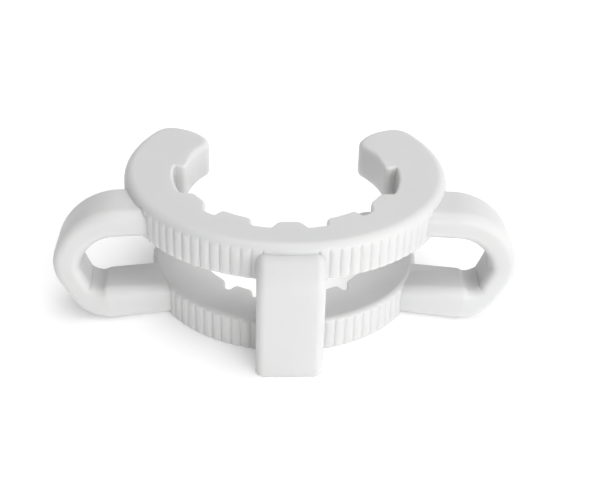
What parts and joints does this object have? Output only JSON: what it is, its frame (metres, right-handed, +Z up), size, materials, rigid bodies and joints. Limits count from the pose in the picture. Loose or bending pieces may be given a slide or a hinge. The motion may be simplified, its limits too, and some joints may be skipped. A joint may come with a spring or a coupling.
{
  "type": "ground glass joint clip",
  "caption": "Moulded spring clip: toothed C rings, joined by side loops and a front bridge, hold a taper glass joint together.",
  "frame": {"origin": "on the axis of the glass joint, at the underside of the lower ring", "axes": "+Z up along the joint's axis from the small ring to the large one, +Y out through the mouth, +X to the side across the two loops"},
  "size_m": [0.0554, 0.0343, 0.015],
  "materials": {
    "clip_plastic": "natural white acetal, satin moulded"
  },
  "bodies": {
    "root": {"joint_clip": "clip_plastic"}
  },
  "joints": []
}
